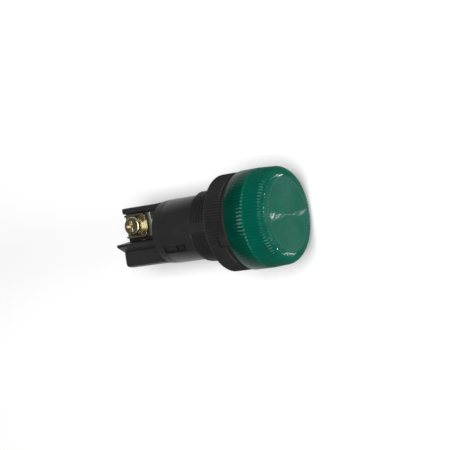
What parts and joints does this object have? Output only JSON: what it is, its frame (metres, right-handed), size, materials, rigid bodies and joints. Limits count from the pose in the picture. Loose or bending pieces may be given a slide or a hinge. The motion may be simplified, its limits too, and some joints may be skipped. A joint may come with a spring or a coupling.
{
  "type": "pilot light",
  "caption": "Panel-mounted round pilot light with a ribbed green lens, screwed barrel, ring nut and two rear screw terminals.",
  "frame": {"origin": "on the axis, at the face where the gasket seats on the front of the panel", "axes": "+Y along the axis towards the terminals, lens facing -Y; +Z towards the key groove (12 o'clock); +X completes the frame"},
  "size_m": [0.0304, 0.0595, 0.0304],
  "materials": {
    "black_plastic": "satin moulded",
    "green_lens": "clear green moulded plastic",
    "black_rubber": "matt",
    "yellow_zinc": "yellow passivated zinc",
    "tinned_strip": "tinned",
    "brass": "drawn",
    "clear_glass": "polished",
    "black_glass": "glossy",
    "solder": "soft",
    "spring_steel": "drawn",
    "fibre": "vulcanised fibre"
  },
  "bodies": {
    "housing": {"housing": "black_plastic", "panel_gasket": "black_rubber", "terminal_block": "black_plastic", "holder_shell": "brass", "holder_rivets": "brass", "shell_strip": "tinned_strip", "centre_strip": "tinned_strip", "contact_spring": "spring_steel"},
    "lens_seal": {"lens_seal": "black_rubber"},
    "lens": {"lens": "green_lens"},
    "lock_washer": {"lock_washer": "black_plastic"},
    "ring_nut": {"ring_nut": "black_plastic"},
    "contact": {"contact_disc": "fibre", "contact_button": "brass"},
    "lamp": {"lamp_bulb": "clear_glass", "lamp_cap": "brass", "lamp_insulator": "black_glass", "lamp_tip": "solder", "lamp_filament": "spring_steel"},
    "upper_clamp": {"upper_saddle_clamp": "yellow_zinc", "upper_spring_washer": "yellow_zinc"},
    "upper_screw": {"upper_terminal_screw": "yellow_zinc"},
    "lower_clamp": {"lower_saddle_clamp": "yellow_zinc", "lower_spring_washer": "yellow_zinc"},
    "lower_screw": {"lower_terminal_screw": "yellow_zinc"}
  },
  "joints": [
    {"name": "lens_slide", "type": "slide", "parent": "housing", "child": "lens_seal", "axis": [0, -1, 0], "range_m": [0, 0.0051]},
    {"name": "lens_turn", "type": "hinge", "parent": "lens_seal", "child": "lens", "pos_m": [0, 0, 0], "axis": [0, -1, 0], "range_deg": [0, 1800]},
    {"name": "nut_slide", "type": "slide", "parent": "housing", "child": "lock_washer", "axis": [0, 1, 0], "range_m": [0, 0.0081]},
    {"name": "nut_turn", "type": "hinge", "parent": "lock_washer", "child": "ring_nut", "pos_m": [0, 0, 0], "axis": [0, 1, 0], "range_deg": [0, 2880]},
    {"name": "contact_push", "type": "slide", "parent": "housing", "child": "contact", "axis": [0, 1, 0], "range_m": [0, 0.0012], "stiffness_N_per_m": 1500, "springref_m": -0.002, "deforming": ["contact_spring"]},
    {"name": "lamp_turn", "type": "hinge", "parent": "contact", "child": "lamp", "pos_m": [0, 0, 0], "axis": [0, -1, 0], "range_deg": [0, 40]},
    {"name": "upper_clamp_slide", "type": "slide", "parent": "housing", "child": "upper_clamp", "axis": [0, 0, 1], "range_m": [-0.0012, 0.0015]},
    {"name": "upper_screw_turn", "type": "hinge", "parent": "upper_clamp", "child": "upper_screw", "pos_m": [0.0035, 0.0392, 0], "axis": [0, 0, 1], "range_deg": [-721, 901]},
    {"name": "lower_clamp_slide", "type": "slide", "parent": "housing", "child": "lower_clamp", "axis": [0, 0, -1], "range_m": [-0.0012, 0.0015]},
    {"name": "lower_screw_turn", "type": "hinge", "parent": "lower_clamp", "child": "lower_screw", "pos_m": [-0.0035, 0.0392, 0], "axis": [0, 0, -1], "range_deg": [-721, 901]}
  ],
  "couplings": [
    {"joint": "lens_slide", "follows": "lens_turn", "m_per_rad": 0.00015915},
    {"joint": "nut_slide", "follows": "nut_turn", "m_per_rad": 0.00015915},
    {"joint": "upper_screw_turn", "follows": "upper_clamp_slide", "rad_per_m": 10472},
    {"joint": "lower_screw_turn", "follows": "lower_clamp_slide", "rad_per_m": 10472}
  ]
}
